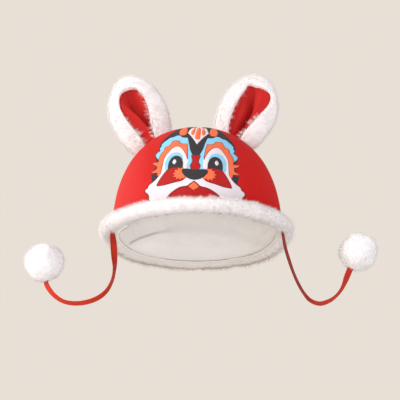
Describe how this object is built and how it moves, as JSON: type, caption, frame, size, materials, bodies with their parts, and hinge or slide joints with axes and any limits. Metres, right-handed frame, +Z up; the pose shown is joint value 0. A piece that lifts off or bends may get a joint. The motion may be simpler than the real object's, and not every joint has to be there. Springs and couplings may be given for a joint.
{
  "type": "toddler's festive ear hat",
  "caption": "Domed red cloth hat for a small child, with a printed lion-dance face, plush ears and rim, a soft lining, and ribbon ties that end in pompoms.",
  "frame": {"origin": "The highest point of the lining inside the hat, where the top of the wearer's head touches it.", "axes": "+Z up along the wearer's head, the front of the hat and its face towards -Y, +X towards the right of the picture, which is the wearer's left."},
  "size_m": [0.3114, 0.189, 0.2275],
  "materials": {
    "red_cloth": "matte",
    "cream_lining": "matte",
    "white_plush": "matte",
    "red_ribbon": "satin"
  },
  "bodies": {
    "root": {"crown_front_panel": "red_cloth", "crown_back_panel": "red_cloth", "lining": "cream_lining", "rim_trim": "white_plush", "ear_left_plush": "white_plush", "ear_left_panel": "red_cloth", "ear_right_plush": "white_plush", "ear_right_panel": "red_cloth", "tie_left": "red_ribbon", "tie_right": "red_ribbon", "pompom_left": "white_plush", "pompom_right": "white_plush"}
  },
  "joints": []
}
